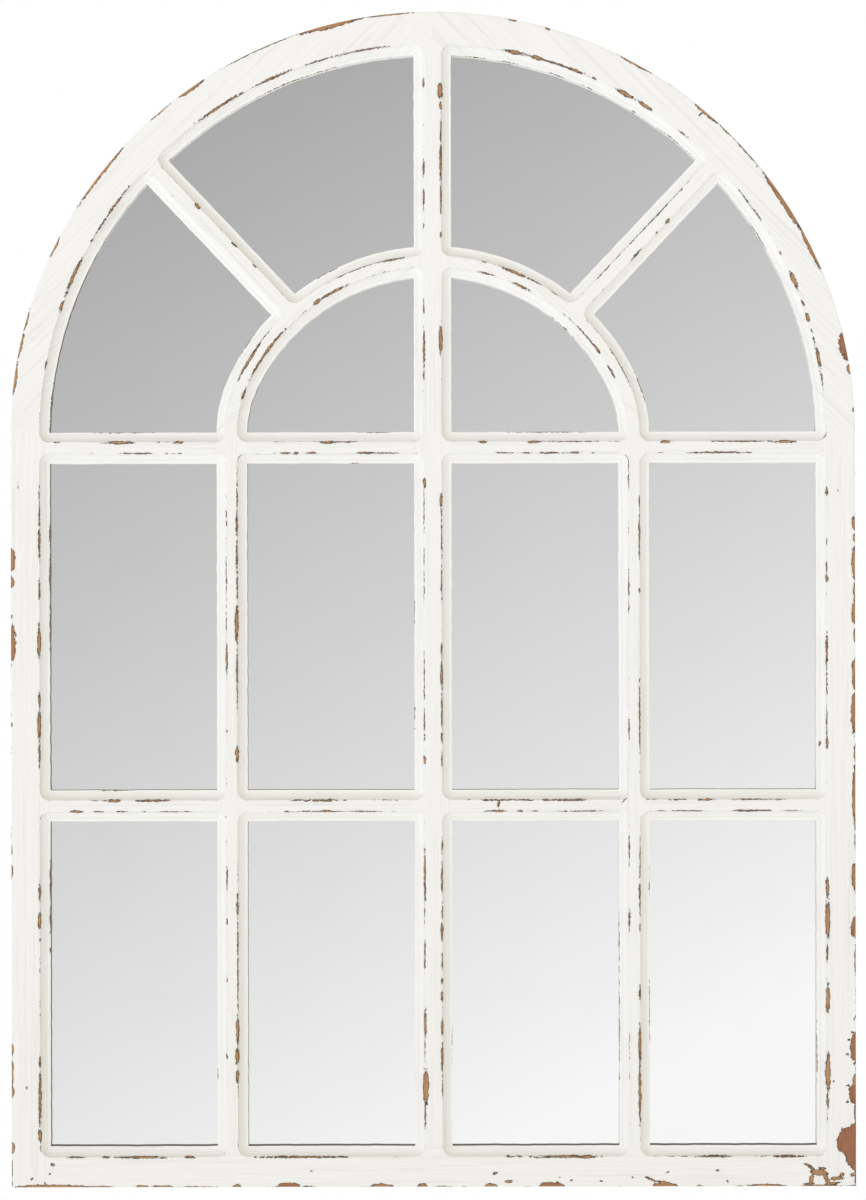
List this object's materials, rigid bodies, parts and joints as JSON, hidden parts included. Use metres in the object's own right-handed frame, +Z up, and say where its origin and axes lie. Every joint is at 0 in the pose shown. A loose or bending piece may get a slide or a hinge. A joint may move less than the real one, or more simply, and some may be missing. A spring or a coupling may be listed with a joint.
{
  "type": "arched window mirror",
  "caption": "Round-headed wall mirror like a window: distressed white timber frame with coved glazing bars and sunburst fanlight, mirror panes, back panel and hinged hanging rings.",
  "frame": {"origin": "middle of the bottom edge, in the back plane of the outer frame", "axes": "+Z up along the height, +X to the viewer's right, the painted face and the glass look along -Y, the wall is on +Y"},
  "size_m": [0.813, 0.0255, 1.1315],
  "materials": {
    "painted_wood": "matt warm-white paint, rubbed through to brown wood along the edges",
    "mirror_glass": "silvered 3 mm float glass, cut edges",
    "hardboard": "smooth brown hardboard",
    "dowel_beech": "plain turned beech",
    "zinc_steel": "zinc plated pressed steel and wire",
    "screw_steel": "zinc plated pan-head screws",
    "bumper_rubber": "matt dark rubber"
  },
  "bodies": {
    "root": {"left_stile": "painted_wood", "right_stile": "painted_wood", "bottom_rail": "painted_wood", "left_arch": "painted_wood", "right_arch": "painted_wood", "centre_mullion": "painted_wood", "left_muntin": "painted_wood", "right_muntin": "painted_wood", "transom_bar": "painted_wood", "lower_bar": "painted_wood", "inner_arch_left": "painted_wood", "inner_arch_right": "painted_wood", "left_fan_bar": "painted_wood", "right_fan_bar": "painted_wood", "left_lower_inner_pane": "mirror_glass", "left_lower_outer_pane": "mirror_glass", "left_upper_inner_pane": "mirror_glass", "left_upper_outer_pane": "mirror_glass", "left_quarter_pane": "mirror_glass", "left_centre_fan_pane": "mirror_glass", "left_side_fan_pane": "mirror_glass", "right_lower_inner_pane": "mirror_glass", "right_lower_outer_pane": "mirror_glass", "right_upper_inner_pane": "mirror_glass", "right_upper_outer_pane": "mirror_glass", "right_quarter_pane": "mirror_glass", "right_centre_fan_pane": "mirror_glass", "right_side_fan_pane": "mirror_glass", "backing_panel": "hardboard", "backing_screws": "screw_steel", "frame_dowels": "dowel_beech", "left_hanger_strap": "zinc_steel", "right_hanger_strap": "zinc_steel", "hanger_screws": "screw_steel", "wall_bumpers": "bumper_rubber"},
    "left_ring": {"left_hanger_ring": "zinc_steel"},
    "right_ring": {"right_hanger_ring": "zinc_steel"}
  },
  "joints": [
    {"name": "left_ring_swing", "type": "hinge", "parent": "root", "child": "left_ring", "pos_m": [-0.396, 0.00258, 0.7], "axis": [1, 0, 0], "range_deg": [0, 182]},
    {"name": "right_ring_swing", "type": "hinge", "parent": "root", "child": "right_ring", "pos_m": [0.396, 0.00258, 0.7], "axis": [1, 0, 0], "range_deg": [0, 182]}
  ]
}
